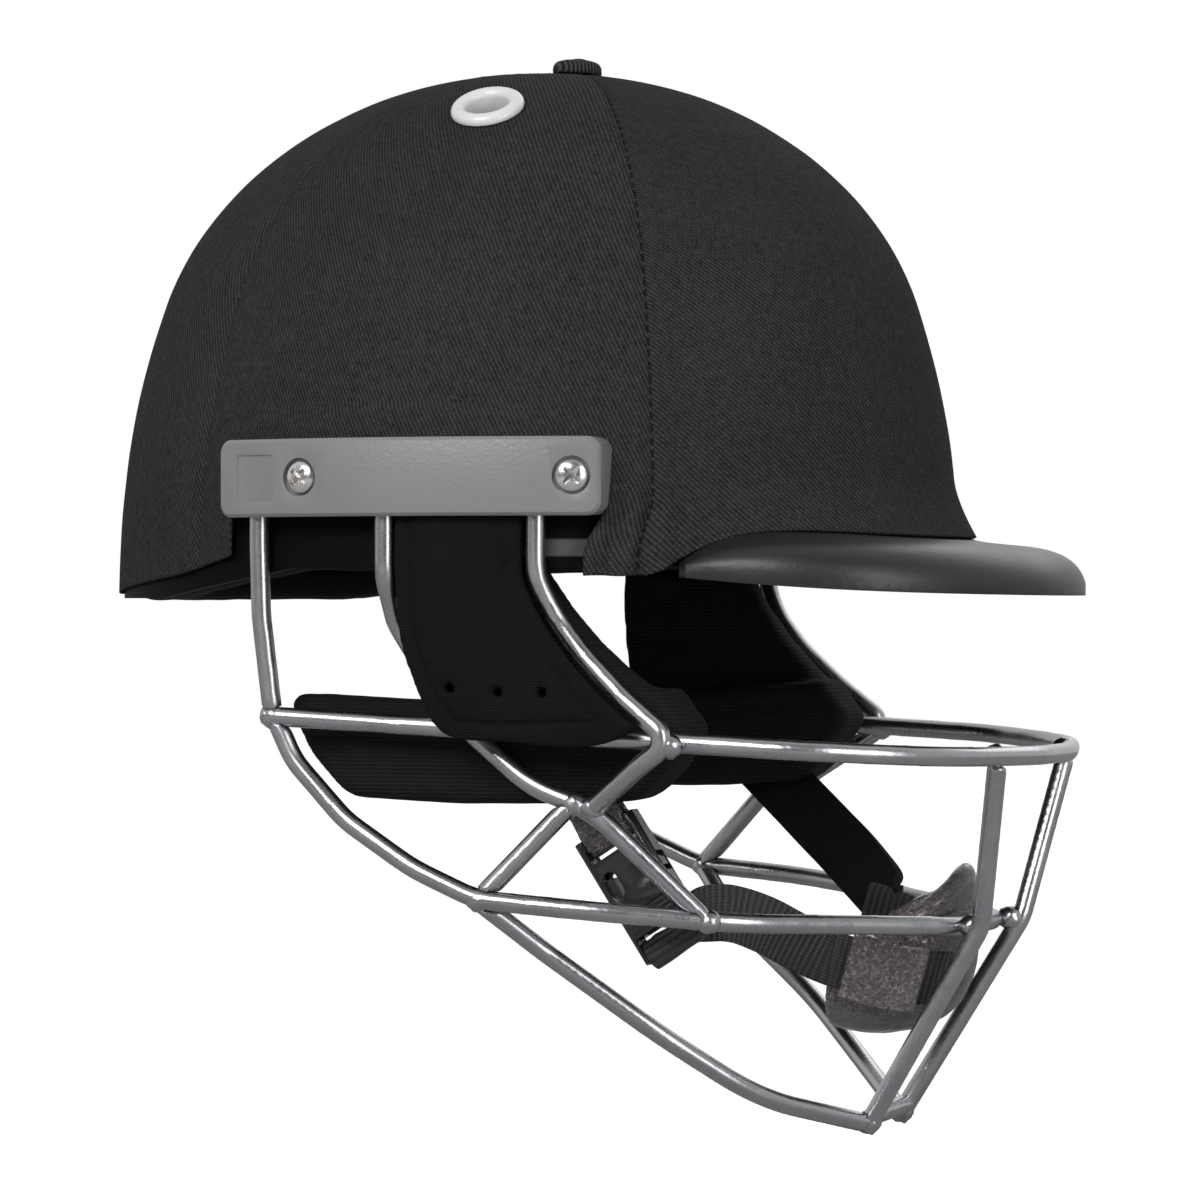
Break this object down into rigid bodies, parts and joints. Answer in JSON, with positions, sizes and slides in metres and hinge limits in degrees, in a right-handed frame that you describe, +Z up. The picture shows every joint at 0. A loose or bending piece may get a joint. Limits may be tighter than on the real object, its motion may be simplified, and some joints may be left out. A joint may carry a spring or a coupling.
{
  "type": "cricket helmet",
  "caption": "Cloth covered batting helmet with a moulded peak, wire face guard, ear flaps, cheek pads and a buckled chin strap with a soft cup.",
  "frame": {"origin": "centre of the head opening, level with the lower rim at the ears", "axes": "+X forward, to the peak; +Y the wearer's left; +Z up, to the crown"},
  "size_m": [0.2818, 0.2186, 0.3031],
  "materials": {
    "shell_plastic": "satin black",
    "cover_cloth": "fine diagonal twill, near black",
    "liner_foam": "moulded foam",
    "padding": "brushed cloth over foam",
    "eyelet_black": "black enamel",
    "plate_grey": "satin grey",
    "screw_steel": "polished steel",
    "guard_metal": "brushed titanium grey",
    "flap_foam": "skinned foam",
    "cheek_foam": "cloth over foam",
    "strap_leather": "grained",
    "webbing": "woven ribbed tape",
    "buckle_plastic": "fine satin"
  },
  "bodies": {
    "helmet": {"outer_shell": "shell_plastic", "peak": "shell_plastic", "cloth_cover": "cover_cloth", "crown_button": "cover_cloth", "impact_liner": "liner_foam", "headband": "padding", "crown_pad": "padding", "brow_pad": "padding", "nape_pad": "padding", "temple_pad_right": "padding", "temple_pad_left": "padding", "vent_eyelet_right": "eyelet_black", "vent_eyelet_left": "eyelet_black", "side_plate_right": "plate_grey", "side_plate_left": "plate_grey", "plate_screws_right": "screw_steel", "plate_screws_left": "screw_steel", "plate_nuts_right": "screw_steel", "plate_nuts_left": "screw_steel", "top_bar": "guard_metal", "lower_bar": "guard_metal", "bar_link": "guard_metal", "rear_upright_right": "guard_metal", "rear_upright_left": "guard_metal", "flap_upright_right": "guard_metal", "flap_upright_left": "guard_metal", "cheek_upright_right": "guard_metal", "cheek_upright_left": "guard_metal", "brace_right": "guard_metal", "brace_left": "guard_metal", "front_bar_right": "guard_metal", "front_bar_left": "guard_metal", "bottom_rail_right": "guard_metal", "bottom_rail_left": "guard_metal", "ear_flap_right": "flap_foam", "ear_flap_left": "flap_foam", "cheek_pad_right": "cheek_foam", "cheek_pad_left": "cheek_foam", "strap_tab": "strap_leather", "left_strap": "strap_leather", "chin_webbing": "webbing", "cup_band": "webbing", "buckle_socket": "buckle_plastic"},
    "buckle_plug": {"buckle_plug": "buckle_plastic", "buckle_prongs": "buckle_plastic"},
    "chin_cup": {"chin_cup": "strap_leather", "cup_keeper_right": "strap_leather", "cup_keeper_left": "strap_leather"}
  },
  "joints": [
    {"name": "buckle_release", "type": "slide", "parent": "helmet", "child": "buckle_plug", "axis": [0.5446, 0, -0.8387], "range_m": [0, 0.024], "deforming": ["buckle_prongs", "chin_webbing"]},
    {"name": "chin_cup_shift", "type": "hinge", "parent": "helmet", "child": "chin_cup", "pos_m": [0.099, 0, -0.1026], "axis": [0.309, -0.1324, 0.9418], "range_deg": [-8, 8]}
  ]
}
